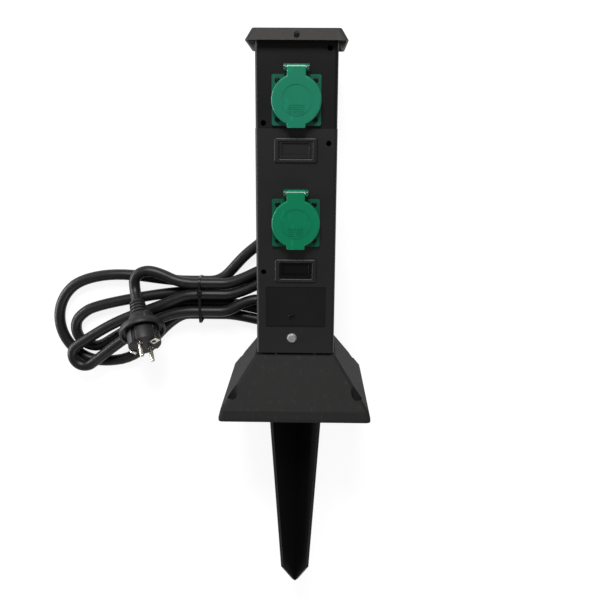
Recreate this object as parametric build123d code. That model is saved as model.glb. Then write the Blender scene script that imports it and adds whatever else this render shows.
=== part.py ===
"""A garden socket post: two covered 16 A outlets in a square post on a flared base with a ground spike,
and a rubber mains lead tied in a hank.

Millimetres. X is to the right, Y runs up the post to its roof and Z comes out of its front face. The
origin is the middle of the base's underside. The post lies on its back, so Z is also up, and the
surface it lies on is half a base width below the origin.
"""

from build123d import *
import math
import os

# Post
BASE_HALF = 82.0
SKIRT_HALF = 80.0
FLOOR = -BASE_HALF
SKIRT_TOP = 11.5
DECK_TOP = 62.7  # where the base's flare ends
DECK_HALF = 44.6
POST_FOOT = 65.4  # the lower edge of the post's shells
SEAM = 306.2  # between the two shell modules
SEAM_GAP = 0.06  # from the seam to each module's end
SKIRT_LIP = 3.5  # how far the base's sides run straight up
ROOF_LOW = 390.3
ROOF_TOP = 402.5
ROOF_HALF = 51.3
ROOF_TOP_HALF = 44.6
ROOF_SCREW_Y = 395.0
SHELL_TOP = 399.2
UPPER_HALF = 42.0
LOWER_HALF = 42.4
EDGE_R = 4.0  # the post's long edges
WALL = 2.6
# Outlets: the heights of their middles and the post's half depth there
OUTLETS = {"upper": (333.7, UPPER_HALF), "lower": (209.7, LOWER_HALF)}
FLANGE_HALF = 25.0
FLANGE_HOLE = 19.0  # from the middle to a flange screw, across and up
GASKET_T = 0.8
FLANGE_T = 2.6
WELL_R = 21.8
WELL_DEPTH = 17.5
WELL_WALL = 1.7
PIN_OFFSET = 9.5
PIN_R = 2.4
PIN_LONG = 19.0
PIN_HOLE_R = 2.75
# Lid, with heights above the flange's face
LID_R = 25.2
LID_LOW = 0.3
LID_TOP = 8.6
NECK_HALF = 9.4
TAB_LOW = 27.3  # from the outlet's middle down to the end of the lid's tab
BARREL_UP = 31.2  # from the outlet's middle up to the hinge axis
BARREL_OVER = 5.0
BARREL_R = 3.4
BARREL_BORE = 2.5
HINGE_PIN_R = 1.1
EAR_IN = 9.8
EAR_OUT = 12.8
HINGE_TOP = 35.0
# Front of the lower module
WINDOWS = {"upper": (-0.4, 284.3), "lower": (0.1, 158.0)}  # middles of the two blanked windows
WINDOW_OUT = (45.0, 25.4)
WINDOW_IN = (34.4, 17.2)
COVER = (65.0, 44.8)
COVER_AT = (0.2, 117.5)
COVER_SCREW = (-4.2, 106.6)
FOOT_BOLT = (-3.8, 82.6)
UPPER_SCREWS = ((-33.8, 311.3), (33.3, 384.0))
LOWER_SCREWS = ((33.3, 291.3), (-34.4, 156.3))
SCREW_SEAT = 22.0  # how high above the post's axis the shell screws' heads sit
# Base and spike
GROUND_AT = 67.0  # from the axis to a ground screw, across and deep
GROUND_HOLE_R = 2.75
RIB_AT = 29.0
SPIKE_SCREW_AT = 19.0
SPIKE_TOP_HALF = 28.5
SPIKE_LOW_HALF = 15.3
SPIKE_SHOULDER = -224.0
SPIKE_TIP = -251.0
SPIKE_RIB = 5.0
# Inside the lower module
CLAMP_Y = 165.0
SHEATH_Z = -24.0
TERMINAL = (110.0, 126.0)
TERMINAL_Z = (8.0, 20.0)
WIRE_Z = 14.0
WIRE_R = 1.3
WIRES = {"brown": -9.5, "earth": 0.0, "blue": 9.5}
# Lead
CORD_D = 13.5
CORD_R = CORD_D / 2
PITCH = 14.2  # between the middles of two turns of the hank, side by side or on each other
BOOT_Y = 205.0
BOOT_STEM_R = 8.0
BOOT_R = 9.5
BOOT_TURN = 18.0
BOOT_OUT_Z = FLOOR + BOOT_R
BOOT_DIRECTION = (math.cos(math.radians(217.8)), math.sin(math.radians(217.8)))
BOOT_SLEEVE = 26.0
WAIST_X = -120.0
WAIST_Y = 99.0
WAIST_LONG = 16.0  # how far the turns run straight, to the right of the waist
LEAD_MEETS = 13.5  # from the waist back to where the free lead ends and the hank starts
TAIL_MEETS = 14.0
LOW_Z = FLOOR + CORD_R + 1.3  # the hank's lower layer lies on its tie
HIGH_Z = LOW_Z + PITCH
LEFT_TURN = ((-247.0, 69.0), 55.7, 10.0)  # middle, radius and lean of the outer loop's left end
LEFT_INNER_TURN = ((-259.0, 57.5), 23.5, 34.0)
LEFT_TOP_TURN = ((-270.0, 26.0), 14.5, 38.0)
RIGHT_TURN = ((-1.0, 106.0), 33.0, 0.0)
RIGHT_TOP_TURN = ((3.0, 75.0), (38.8, 111.0), (-1.0, 146.1))  # its bottom, right and top
PLUG_AT = (-196.0, 99.0, -47.5)  # where the lead enters the plug's neck
FRONT = 63.5  # from the plug's neck to its face
FRONT_R = 19.4
PLUG_AXIS = (0.29, -0.65, 0.70)
PLUG_PINS_ALONG = (0.5, -0.6, -0.6)


def across(y):
    """The plane square to the post at a height, facing the roof."""
    return Plane(origin=(0, y, 0), x_dir=(1, 0, 0), z_dir=(0, 1, 0))


def bar(half, radius, y0, y1):
    """A square bar along the post."""
    return extrude(across(y0) * RectangleRounded(2 * half, 2 * half, radius), y1 - y0)


def taper(half0, y0, half1, y1, radius0, radius1):
    """A square bar along the post that changes its width."""
    low = across(y0) * RectangleRounded(2 * half0, 2 * half0, radius0)
    high = across(y1) * RectangleRounded(2 * half1, 2 * half1, radius1)
    return loft([low, high])


def block(x0, x1, y0, y1, z0, z1):
    return Pos((x0 + x1) / 2, (y0 + y1) / 2, (z0 + z1) / 2) * Box(abs(x1 - x0), y1 - y0, z1 - z0)


def disc(x, y, z0, z1, radius):
    """A round bar out of the front face, between two heights."""
    return Pos(x, y, (z0 + z1) / 2) * Cylinder(radius, z1 - z0)


def ring(y, z0, z1, outer, inner):
    return disc(0, y, z0, z1, outer) - disc(0, y, z0 - 1, z1 + 1, inner)


def rod_x(x0, x1, y, z, radius):
    return Pos((x0 + x1) / 2, y, z) * Rot(Y=90) * Cylinder(radius, abs(x1 - x0))


def rod_y(x, y0, y1, z, radius):
    return Pos(x, (y0 + y1) / 2, z) * Rot(X=90) * Cylinder(radius, y1 - y0)


def plate(x, y, z0, width, height, thick, radius):
    """A rounded plate that faces forward."""
    return extrude(Pos(x, y, z0) * RectangleRounded(width, height, radius), thick)


def top_edges(solid, axis=Axis.Z):
    return solid.faces().sort_by(axis)[-1].edges()


def cross_places(reach):
    """The four places at one distance from the axis, square to each other."""
    return [(reach, 0.0), (-reach, 0.0), (0.0, reach), (0.0, -reach)]


def corners(reach):
    """The four places at one distance across and deep."""
    return [(sx * reach, sy * reach) for sx in (1, -1) for sy in (1, -1)]


def screw(head_r, head_h, shank_r, length):
    """A cross-recess screw that points down, with its seat at the origin."""
    head = disc(0, 0, 0, head_h, head_r)
    head = fillet(top_edges(head), head_h * 0.45)
    recess = Box(head_r * 1.1, 0.9, head_h) + Box(0.9, head_r * 1.1, head_h)
    tip = Pos(0, 0, -length - shank_r) * Cone(0.3, shank_r, 2 * shank_r)
    return head + disc(0, 0, -length, 0, shank_r) + tip - Pos(0, 0, head_h) * recess


# Roof


def roof_cap():
    """The roof: a hollow cap whose rim overhangs the post all round."""
    outer = taper(ROOF_HALF, ROOF_LOW, ROOF_TOP_HALF, ROOF_TOP, 3.5, 4.0)
    outer = fillet(top_edges(outer, Axis.Y), 1.2)
    hollow = taper(ROOF_HALF - 1.8, ROOF_LOW - 0.01, UPPER_HALF + 0.25, SHELL_TOP + 0.3, 3.0, EDGE_R)
    boss = disc(0, ROOF_SCREW_Y, UPPER_HALF + 0.2, ROOF_HALF - 3.5, 4.0)
    hole = disc(0, ROOF_SCREW_Y, 30, 60, 1.7) + disc(0, ROOF_SCREW_Y, ROOF_HALF - 4.6, 60, 2.8)
    return outer - hollow + boss + mirror(boss, Plane.XY) - hole - mirror(hole, Plane.XY)


def roof_screws():
    one = Pos(0, ROOF_SCREW_Y, ROOF_HALF - 4.6) * screw(2.6, 1.4, 1.4, 9.0)
    return [one, mirror(one, Plane.XY)]


# Shells of the post


def shell(half, y0, y1, front):
    """One half of a square sleeve of the post."""
    sleeve = bar(half, EDGE_R, y0, y1) - bar(half - WALL, EDGE_R - 1.5, y0 - 1, y1 + 1)
    z0, z1 = (0, half + 1) if front else (-half - 1, 0)
    return sleeve & block(-half - 1, half + 1, y0 - 1, y1 + 1, z0, z1)


def tongues(half, y0, y1):
    """The tongues of a rear shell, which reach past the parting line inside the front shell."""
    inner = half - WALL
    out = []
    for side in (1, -1):
        out.append(block(side * (inner - 1.3), side * (inner + 0.2), y0, y1, -3, 0))
        out.append(block(side * (inner - 1.3), side * (inner - 0.2), y0, y1, -0.5, 3))
    return out


def front_bosses(body, half, screws):
    """Adds the tubes that the shell screws sink into from the front."""
    for x, y in screws:
        body += disc(x, y, 6, half - 1, 4.4)
        body -= [disc(x, y, SCREW_SEAT, half + 1, 2.8), disc(x, y, 5, half, 1.7)]
    return body


def rear_bosses(body, half, screws):
    """Adds the posts that the shell screws bite into."""
    for x, y in screws:
        body += disc(x, y, -half + 1, 5.8, 4.0)
        body -= disc(x, y, -16, 7, 1.5)
    return body


def outlet_cut(name):
    """What an outlet's insert takes out of the front wall."""
    y, half = OUTLETS[name]
    cuts = [disc(0, y, half - 6, half + 4, WELL_R + WELL_WALL + 0.6)]
    return cuts + [disc(dx, y + dy, half - 6, half + 4, 1.3) for dx, dy in corners(FLANGE_HOLE)]


def join_sleeve(front):
    """The part of the lower module's end that reaches into the upper module."""
    half = UPPER_HALF - WALL - 0.3
    side = block(-26, 26, 200, 400, 20, 50) if front else block(-26, 26, 200, 400, -50, -20)
    sleeve = bar(half, 2.5, SEAM - 6, SEAM + 3.4) - bar(half - 1.6, 2.0, SEAM - 7, SEAM + 7)
    root = bar(LOWER_HALF - 1, 2.5, SEAM - 6, SEAM - SEAM_GAP) - bar(half - 1.6, 2.0, SEAM - 7, SEAM + 7)
    return [sleeve & side, root & side]


def upper_front_housing():
    body = shell(UPPER_HALF, SEAM + SEAM_GAP, SHELL_TOP, True)
    body = front_bosses(body, UPPER_HALF, UPPER_SCREWS)
    return body - outlet_cut("upper") - disc(0, ROOF_SCREW_Y, 30, 50, 1.5)


def upper_rear_housing():
    body = shell(UPPER_HALF, SEAM + SEAM_GAP, SHELL_TOP, False)
    body += tongues(UPPER_HALF, SEAM + 12, SHELL_TOP - 6)
    body = rear_bosses(body, UPPER_HALF, UPPER_SCREWS)
    return body - disc(0, ROOF_SCREW_Y, -50, -30, 1.5)


def window_frame(x, y):
    """The raised frame round a blanked window, with rounded ridges."""
    frame = fillet(top_edges(plate(x, y, LOWER_HALF - 1, *WINDOW_OUT, 3.2, 3.0)), 1.9)
    frame -= plate(x, y, LOWER_HALF - 2, *WINDOW_IN, 6, 1.2)
    inside = frame.faces().sort_by(Axis.Z)[-1].inner_wires()[0].edges()
    return fillet(inside, 1.4)


def window_cuts(x, y):
    through = plate(x, y, LOWER_HALF - WALL - 1, WINDOW_IN[0] - 3, WINDOW_IN[1] - 3, 3, 1)
    return [through, plate(x, y, LOWER_HALF - 1.6, WINDOW_IN[0], WINDOW_IN[1], 6, 1.2)]


def cover_arm():
    """The arm behind the terminal cover that its screw bites into."""
    x, y = COVER_SCREW
    return block(x - 4, x + 4, COVER_AT[1] - COVER[1] / 2 - 1, y + 4, 34, LOWER_HALF - 1.9)


def lower_front_housing():
    body = shell(LOWER_HALF, POST_FOOT, SEAM - SEAM_GAP, True) + join_sleeve(True)
    for x, y in WINDOWS.values():
        body += window_frame(x, y)
    body = front_bosses(body, LOWER_HALF, LOWER_SCREWS)
    for x, y in WINDOWS.values():
        body -= window_cuts(x, y)
    body -= outlet_cut("lower")
    x, y = COVER_AT
    body -= plate(x, y, LOWER_HALF - 1.8, COVER[0], COVER[1], 5, 1.5)
    body -= plate(x, y, LOWER_HALF - WALL - 1, COVER[0] - 6, COVER[1] - 6, 5, 1.5)
    body += cover_arm()
    return body - disc(*COVER_SCREW, 33, 45, 1.5) - disc(*FOOT_BOLT, 30, 50, 3.3)


def lower_rear_housing():
    body = shell(LOWER_HALF, POST_FOOT, SEAM - SEAM_GAP, False) + join_sleeve(False)
    body += tongues(LOWER_HALF, POST_FOOT + 40, SEAM - 12)
    body = rear_bosses(body, LOWER_HALF, LOWER_SCREWS)
    back = -LOWER_HALF + 1
    for x in (-13.0, 13.0):
        body += disc(x, CLAMP_Y, back, SHEATH_Z, 3.6)
        body -= disc(x, CLAMP_Y, SHEATH_Z - 9, SHEATH_Z + 1, 1.3)
    saddle = block(-8, 8, CLAMP_Y - 4, CLAMP_Y + 4, back, SHEATH_Z)
    body += saddle - rod_y(0, CLAMP_Y - 5, CLAMP_Y + 5, SHEATH_Z, CORD_R + 0.05)
    middle = sum(TERMINAL) / 2
    for x in (-20.0, 20.0):
        body += disc(x, middle, back, TERMINAL_Z[0], 3.6)
        body -= disc(x, middle, TERMINAL_Z[0] - 9, TERMINAL_Z[0] + 1, 1.3)
    return body - [disc(0, BOOT_Y, -50, -30, BOOT_STEM_R + 0.25), disc(*FOOT_BOLT, -50, -30, 3.3)]


def housing_screws(points):
    return [Pos(x, y, SCREW_SEAT) * screw(2.6, 1.8, 1.4, 32.0) for x, y in points]


def window_blank(x, y, depth):
    """The plate that blanks a window, with its sunk middle between two rounded end bars."""
    width, height = WINDOW_IN[0] - 0.5, WINDOW_IN[1] - 0.5
    z0 = LOWER_HALF - 1.5
    body = plate(x, y, z0, width, height, 2.4, 1.0)
    body -= plate(x, y + 1.2, z0 + 2.4 - depth, width - 3.6, height - 4.4, 3, 0.8)
    for side in (1, -1):
        body += rod_y(x + side * (width / 2 - 2.6), y - 5.4, y + 7.0, z0 + 1.4, 0.9)
    return body


def terminal_cover():
    x, y = COVER_AT
    body = plate(x, y, LOWER_HALF - 1.7, COVER[0] - 0.7, COVER[1] - 0.7, 1.2, 1.2)
    low = y - COVER[1] / 2
    body += block(x - 31.2, x + 31.2, low + 0.5, low + 1.5, LOWER_HALF - 1, LOWER_HALF - 0.1)
    return body - [disc(*COVER_SCREW, 30, 45, 1.7)]


def terminal_cover_screw():
    seat = LOWER_HALF - 0.5
    head = disc(*COVER_SCREW, seat, seat + 1.3, 3.4)
    head = fillet(top_edges(head), 0.5)
    slot = Pos(COVER_SCREW[0], COVER_SCREW[1], seat + 1.3) * Rot(Z=35) * Box(8, 0.9, 1.4)
    return head - slot + disc(*COVER_SCREW, 34.5, seat, 1.4)


# Base and spike


def base():
    """The flared base: a ribbed shell with a deck, a spigot for the post and four sunk screw wells."""
    outer = bar(BASE_HALF, 5.0, 0, SKIRT_LIP) + taper(BASE_HALF, SKIRT_LIP, SKIRT_HALF, SKIRT_TOP, 5.0, 4.5)
    outer += taper(SKIRT_HALF, SKIRT_TOP, DECK_HALF, DECK_TOP, 4.5, 4.0)
    hollow = bar(BASE_HALF - 4.4, 3.0, -1, SKIRT_TOP)
    hollow += taper(BASE_HALF - 5.2, SKIRT_TOP - 0.5, DECK_HALF - 3.4, DECK_TOP - 3.0, 3.0, 3.0)
    body = outer - hollow
    inside = [block(-RIB_AT, RIB_AT, 4.4, 7.4, -RIB_AT, RIB_AT)]
    for at in (-RIB_AT, RIB_AT):
        inside.append(block(at - 1.2, at + 1.2, 1, 61, -81, 81))
        inside.append(block(-81, 81, 1, 61, at - 1.2, at + 1.2))
    inside += [rod_y(x, 0, 60, z, 8.0) for x, z in corners(GROUND_AT)]
    for piece in inside:
        body += piece & outer
    spigot = LOWER_HALF - WALL - 0.6
    body += bar(spigot, 2.0, DECK_TOP - 1, POST_FOOT + 27) - bar(spigot - 2.4, 1.5, 60, 100)
    for x in (-21.5, 21.5):
        for z in (38.9, -41.9):
            body += block(x - 1.4, x + 1.4, DECK_TOP - 0.5, POST_FOOT, z, z + 3.0)
    for x, z in corners(GROUND_AT):
        body -= [rod_y(x, 14, 70, z, 6.0), rod_y(x, -1, 15, z, GROUND_HOLE_R)]
    body -= [rod_y(x, 3, 9, z, 1.5) for x, z in cross_places(SPIKE_SCREW_AT)]
    return body - disc(*FOOT_BOLT, -60, 60, 3.3)


def ground_spike():
    """The spike: a square head under the deck, and two crossed tapering ribs."""
    body = bar(RIB_AT - 1.6, 2.0, 0, 4.2)
    wide, narrow, blunt = (half * math.sqrt(2) for half in (SPIKE_TOP_HALF, SPIKE_LOW_HALF, 2.0))
    right = [(wide, -8.0), (narrow, SPIKE_SHOULDER), (blunt, SPIKE_TIP)]
    left = [(-x, y) for x, y in reversed(right)]
    for turn in (1, -1):
        plane = Plane(origin=(0, 0, 0), x_dir=(1, 0, turn), z_dir=(-turn, 0, 1))
        outline = Polyline((RIB_AT, 0.5), *right, *left, (-RIB_AT, 0.5), close=True)
        body += extrude(plane * make_face(outline), SPIKE_RIB / 2, both=True)
    return body - [rod_y(x, -30, 5, z, 1.7) for x, z in cross_places(SPIKE_SCREW_AT)]


def spike_screws():
    """Four screws through the spike's head into the base's deck plate."""
    one = Rot(X=90) * screw(2.6, 1.6, 1.4, 6.0)
    return [Pos(x, 0.0, z) * one for x, z in cross_places(SPIKE_SCREW_AT)]


def foot_bolt():
    """The domed bolt that runs through the shells and the base's spigot."""
    x, y = FOOT_BOLT
    dome = disc(x, y, LOWER_HALF, LOWER_HALF + 2.6, 5.4)
    return fillet(top_edges(dome), 2.3) + disc(x, y, -50, LOWER_HALF, 3.0)


def foot_washer():
    x, y = FOOT_BOLT
    return disc(x, y, -LOWER_HALF - 1.2, -LOWER_HALF, 6.4) - disc(x, y, -60, 0, 3.2)


def foot_nut():
    x, y = FOOT_BOLT
    low = -LOWER_HALF - 6.2
    nut = extrude(Pos(x, y, low) * RegularPolygon(5.77, 6), 5.0)
    return nut - disc(x, y, -60, 0, 3.05)


# Outlets


def face_of(name):
    """The height of an outlet's flange face."""
    return OUTLETS[name][1] + GASKET_T + FLANGE_T


def insert(name):
    """The green insert: flange, hinge ears and the well with its pin holes."""
    y, half = OUTLETS[name]
    low, face = half + GASKET_T, face_of(name)
    floor = face - WELL_DEPTH
    body = plate(0, y, low, 2 * FLANGE_HALF, 2 * FLANGE_HALF, FLANGE_T, 2.0)
    body += plate(0, y + 29.0, low, 2 * EAR_OUT, 12.0, FLANGE_T, 2.0)
    for side in (1, -1):
        foot = block(side * EAR_IN, side * EAR_OUT, y + 27.6, y + HINGE_TOP - 0.4, low + 1, face + BARREL_OVER)
        body += foot + rod_x(side * EAR_IN, side * EAR_OUT, y + BARREL_UP, face + BARREL_OVER, 3.7)
    body += disc(0, y, floor - 2.0, face - 0.5, WELL_R + WELL_WALL) + ring(y, face - 1, face + 1.6, 22.9, WELL_R)
    body -= disc(0, y, floor, face + 5, WELL_R)
    for side in (1, -1):
        guide = block(side * 19.8, side * 22.6, y - 2.6, y + 2.6, floor - 1, face - 1.5)
        body += guide
        body -= disc(side * PIN_OFFSET, y, floor - 3, floor + 1, PIN_HOLE_R)
        middle = y + side * 19.05
        body -= block(-3.4, 3.4, middle - 0.9, middle + 0.9, floor - 3, floor + 1)
    for dx, dy in corners(FLANGE_HOLE):
        body -= [disc(dx, y + dy, low - 1, face + 1, 1.7), disc(dx, y + dy, face - 1.5, face + 1, 2.9)]
    return body - rod_x(-14, 14, y + BARREL_UP, face + BARREL_OVER, HINGE_PIN_R + 0.05)


def gasket(name):
    y, half = OUTLETS[name]
    sheet = plate(0, y, half, 49.4, 49.4, GASKET_T, 1.8) - disc(0, y, 0, 60, 24.0)
    return sheet - [disc(dx, y + dy, 0, 60, 1.7) for dx, dy in corners(FLANGE_HOLE)]


def flange_screws(name):
    y, _ = OUTLETS[name]
    seat = face_of(name) - 1.5
    return [Pos(dx, y + dy, seat) * screw(2.6, 1.3, 1.25, 7.0) for dx, dy in corners(FLANGE_HOLE)]


def earth_clip(name):
    """The sprung earth strip: two arms through the well's floor, joined behind it."""
    y, _ = OUTLETS[name]
    face = face_of(name)
    back = face - WELL_DEPTH - 2.0
    body = block(-3, 3, y - 19.5, y + 19.5, back - 4.2, back - 3.2)
    for side in (1, -1):
        inner, outer = sorted((y + side * 18.6, y + side * 19.5))
        body += block(-3, 3, inner, outer, back - 4.0, face - 3.0)
        body += rod_x(-3, 3, y + side * 18.4, face - 8.0, 0.9)
    return body


def contacts(name):
    """Two brass sleeves behind the pin holes, each on its terminal block."""
    y, _ = OUTLETS[name]
    top = face_of(name) - WELL_DEPTH - 2.2
    out = []
    for side in (1, -1):
        x = side * PIN_OFFSET
        sleeve = disc(x, y, top - 8, top, 3.3) - disc(x, y, top - 7, top + 1, 2.5)
        out.append(sleeve + block(x - 3.2, x + 3.2, y - 7.5, y + 7.5, top - 12, top - 7.5))
    return out


def rear_cap(name):
    """The cup that covers an outlet's terminals from behind, with its wire holes."""
    y, _ = OUTLETS[name]
    top = face_of(name) - WELL_DEPTH - 2.0
    body = disc(0, y, top - 17, top, 23.4) - disc(0, y, top - 15.5, top + 1, 21.9)
    for x in WIRES.values():
        body -= [disc(x, y + dy, top - 18, top, 1.6) for dy in (-5, 5)]
    return body


def lid(name):
    """The lid: a hollow disc with a hinge neck and barrel above and a finger tab below."""
    y, _ = OUTLETS[name]
    face = face_of(name)
    axis_y, axis_z = y + BARREL_UP, face + BARREL_OVER
    body = disc(0, y, face + LID_LOW, face + LID_TOP, LID_R)
    body = fillet(top_edges(body), 1.6)
    neck = block(-NECK_HALF, NECK_HALF, y + 17, axis_y, face + 3.4, face + LID_TOP)
    tab = plate(0, y - TAB_LOW + 5, face + 3.8, 2 * NECK_HALF, 10.0, LID_TOP - 3.8, 1.2)
    body += [fillet(top_edges(neck).filter_by(Axis.Y), 1.0), fillet(top_edges(tab), 0.8)]
    body += rod_x(-NECK_HALF, NECK_HALF, axis_y, axis_z, BARREL_R)
    body += ring(y, face + LID_TOP - 0.5, face + LID_TOP + 0.4, 15.6, 14.8)
    for step in range(5):
        rib = y - 4.2 - 1.85 * step
        body += block(-7.9, 7.9, rib - 0.9, rib, face + LID_TOP - 0.5, face + LID_TOP + 0.35)
    body -= [disc(0, y, face - 1, face + 4.2, LID_R - 2), disc(0, y, face, face + LID_TOP - 2, 20.2)]
    body -= block(-18, 18, y + 12, y + 27, face, face + 2.5)
    return body - rod_x(-NECK_HALF - 1, NECK_HALF + 1, axis_y, axis_z, BARREL_BORE)


def lid_seal(name):
    y, _ = OUTLETS[name]
    face = face_of(name)
    return ring(y, face + 2.0, face + 4.2, LID_R - 2.05, 20.4)


def hinge_pin(name):
    y, _ = OUTLETS[name]
    return rod_x(-EAR_OUT, EAR_OUT, y + BARREL_UP, face_of(name) + BARREL_OVER, HINGE_PIN_R)


def hinge_spring(name):
    """The lid's closing spring, wound round the pin inside the barrel."""
    y, _ = OUTLETS[name]
    radius, wire, pitch, turns = 1.85, 0.5, 1.6, 9
    coil = Helix(pitch=pitch, height=pitch * turns, radius=radius)
    start = Plane(origin=coil @ 0, z_dir=coil % 0)
    body = sweep(start * Rectangle(wire, wire), path=coil, is_frenet=True)
    return Pos(-pitch * turns / 2, y + BARREL_UP, face_of(name) + BARREL_OVER) * Rot(Y=90) * body


# Wiring


def terminal_block():
    low, high = TERMINAL
    body = block(-24, 24, low, high, *TERMINAL_Z)
    for x in WIRES.values():
        body += block(x - 3.6, x + 3.6, low + 1.5, high - 1.5, TERMINAL_Z[1] - 1, TERMINAL_Z[1] + 3)
        for y in (low + 4.5, high - 4.5):
            body -= disc(x, y, TERMINAL_Z[1] - 2, TERMINAL_Z[1] + 4, 1.9)
    return body - [disc(x, (low + high) / 2, 0, 30, 1.7) for x in (-20.0, 20.0)]


def terminal_screws():
    """The clamping screws of the terminal block."""
    out = []
    for x in WIRES.values():
        for y in (TERMINAL[0] + 4.5, TERMINAL[1] - 4.5):
            head = disc(x, y, TERMINAL_Z[1] - 2, TERMINAL_Z[1] + 2, 1.8)
            out.append(head - Pos(x, y, TERMINAL_Z[1] + 2) * Box(4, 0.6, 1.2))
    return out


def terminal_mount_screws():
    middle = sum(TERMINAL) / 2
    return [Pos(x, middle, TERMINAL_Z[1]) * screw(2.8, 1.6, 1.2, 16.0) for x in (-20.0, 20.0)]


def cord_clamp():
    """The bridge that grips the sheath against its saddle."""
    body = block(-17, 17, CLAMP_Y - 4, CLAMP_Y + 4, SHEATH_Z, SHEATH_Z + 9)
    body -= rod_y(0, CLAMP_Y - 5, CLAMP_Y + 5, SHEATH_Z, CORD_R + 0.05)
    return body - [disc(x, CLAMP_Y, -40, 0, 1.7) for x in (-13.0, 13.0)]


def clamp_screws():
    return [Pos(x, CLAMP_Y, SHEATH_Z + 9) * screw(2.8, 1.6, 1.2, 14.0) for x in (-13.0, 13.0)]


def tube(points, radii, radius):
    """A round tube along straight runs joined by arcs."""
    path = FilletPolyline(*points, radius=radii)
    start = Plane(origin=path @ 0, z_dir=path % 0)
    return sweep(start * Circle(radius), path=path)


def wires(colour):
    """One conductor: from the sheath to the terminals, on to the lower outlet and on to the upper."""
    x = WIRES[colour]
    inlet = x / 3.4
    low, high = TERMINAL
    out = [tube(((inlet, 150, SHEATH_Z), (inlet, 140, SHEATH_Z), (x, 122, -22), (x, 97, -18), (x, 96, WIRE_Z),
                 (x, low, WIRE_Z)), (8, 8, 8, 6), WIRE_R)]
    ends = {name: face_of(name) - WELL_DEPTH - 2.2 - (4.0 if colour == "earth" else 12.0) for name in OUTLETS}
    y = OUTLETS["lower"][0]
    out.append(tube(((x, high, WIRE_Z), (x, 150, WIRE_Z), (x, 172, -4), (x, y - 5, -4), (x, y - 5, ends["lower"])),
                    (12, 12, 7), WIRE_R))
    top = OUTLETS["upper"][0] - 5
    out.append(tube(((x, y + 5, ends["lower"]), (x, y + 5, -4), (x, top, -4), (x, top, ends["upper"])),
                    (7, 7), WIRE_R))
    return out


def cord_inner():
    """The sheathed lead inside the post, from the boot to just past its clamp."""
    points = ((0, BOOT_Y, -LOWER_HALF + 3.4), (0, BOOT_Y, SHEATH_Z), (0, 150, SHEATH_Z))
    return tube(points, (12.0,), CORD_R)


# Lead


def unit(vector):
    return Vector(*vector).normalized()


def boot_point(along, z):
    """A point in the upright plane of the boot's turn."""
    return (BOOT_DIRECTION[0] * along, BOOT_Y + BOOT_DIRECTION[1] * along, z)


def cord_boot():
    """The moulded boot: a flange on the back, a quarter turn and a tapered, ribbed sleeve."""
    back = -LOWER_HALF
    turn_start = BOOT_OUT_Z + BOOT_TURN
    body = disc(0, BOOT_Y, back + WALL + 0.2, back + 3.4, BOOT_STEM_R + 1.8)
    body += [disc(0, BOOT_Y, back - 1, back + WALL + 0.4, BOOT_STEM_R), disc(0, BOOT_Y, back - 2.6, back, 12.5)]
    path = Polyline(boot_point(0, back - 2), boot_point(0, turn_start))
    path += TangentArc(boot_point(0, turn_start), boot_point(BOOT_TURN, BOOT_OUT_Z), tangent=(0, 0, -1))
    body += sweep(Plane(origin=boot_point(0, back - 2), z_dir=(0, 0, -1)) * Circle(BOOT_R), path=path)
    outlet = Plane(origin=boot_point(BOOT_TURN, BOOT_OUT_Z), z_dir=(*BOOT_DIRECTION, 0))
    sleeve = Pos(0, 0, BOOT_SLEEVE / 2) * Cone(9.3, 7.9, BOOT_SLEEVE)
    for step in range(4):
        sleeve += Pos(0, 0, 5 + 5.5 * step) * Cylinder(9.5 - 0.25 * step, 2.2)
    return body + outlet * sleeve


def lead_points():
    """The free lead's route from the boot down to the hank's waist."""
    return (
        boot_point(BOOT_TURN + BOOT_SLEEVE, BOOT_OUT_Z),
        boot_point(BOOT_TURN + BOOT_SLEEVE + 17, BOOT_OUT_Z),
        (-66.0, 153.0, -73.2),
        (-81.3, 134.0, LOW_Z),
        (-90.7, 123.6, LOW_Z),
        (-98.0, WAIST_Y + 1.5 * PITCH, LOW_Z),
        (WAIST_X + LEAD_MEETS, WAIST_Y + 1.5 * PITCH, LOW_Z),
    )


def slot(number, z, way, shift=0.0):
    """A station at the hank's waist: slots are a pitch apart, from the waist's middle up."""
    return (Vector(WAIST_X + shift, WAIST_Y + number * PITCH, z), Vector(way, 0, 0))


def joint(start, end):
    """The station where two arcs meet that lead from one station to the next."""
    p0, t0, p1, t1 = *start, *end
    gap = p1 - p0
    a, b, c = 2 * (1 - t0.dot(t1)), 2 * gap.dot(t0 + t1), -gap.dot(gap)
    reach = -c / b if abs(a) < 1e-9 else (-b + math.sqrt(b * b - 4 * a * c)) / (2 * a)
    return ((p0 + p1 + (t0 - t1) * reach) * 0.5, (gap - (t0 + t1) * reach).normalized())


def guide(*stations):
    """Stations with the joints between them, so that one arc leads from each to the next."""
    out = [stations[0]]
    for start, end in zip(stations, stations[1:]):
        out += [joint(start, end), end]
    return out


def lane(stations, offset):
    """The stations of a strand that runs beside others, further out."""
    return [(place + Vector(way.Y, -way.X, 0) * offset, way) for place, way in stations]


def half_turn(turn, start, z, offset=0.0):
    """Three stations round one end of the hank."""
    (x, y), radius, lean = turn
    out = []
    for step in range(3):
        angle = math.radians(start + lean + 90 * step)
        c, s = math.cos(angle), math.sin(angle)
        out.append((Vector(x + (radius + offset) * c, y + (radius + offset) * s, z), Vector(-s, c, 0)))
    return out


def climbing_turn(offset):
    """The right end that rises from the lower layer to the upper one."""
    low, middle, high = half_turn(RIGHT_TURN, 270, LOW_Z, offset)
    rise = 1.5 * PITCH / (math.pi * (RIGHT_TURN[1] + offset))
    middle = (middle[0] + Vector(0, 0, PITCH / 2), (middle[1] + Vector(0, 0, rise)).normalized())
    return guide(low, middle, (high[0] + Vector(0, 0, PITCH), high[1]))


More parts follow.
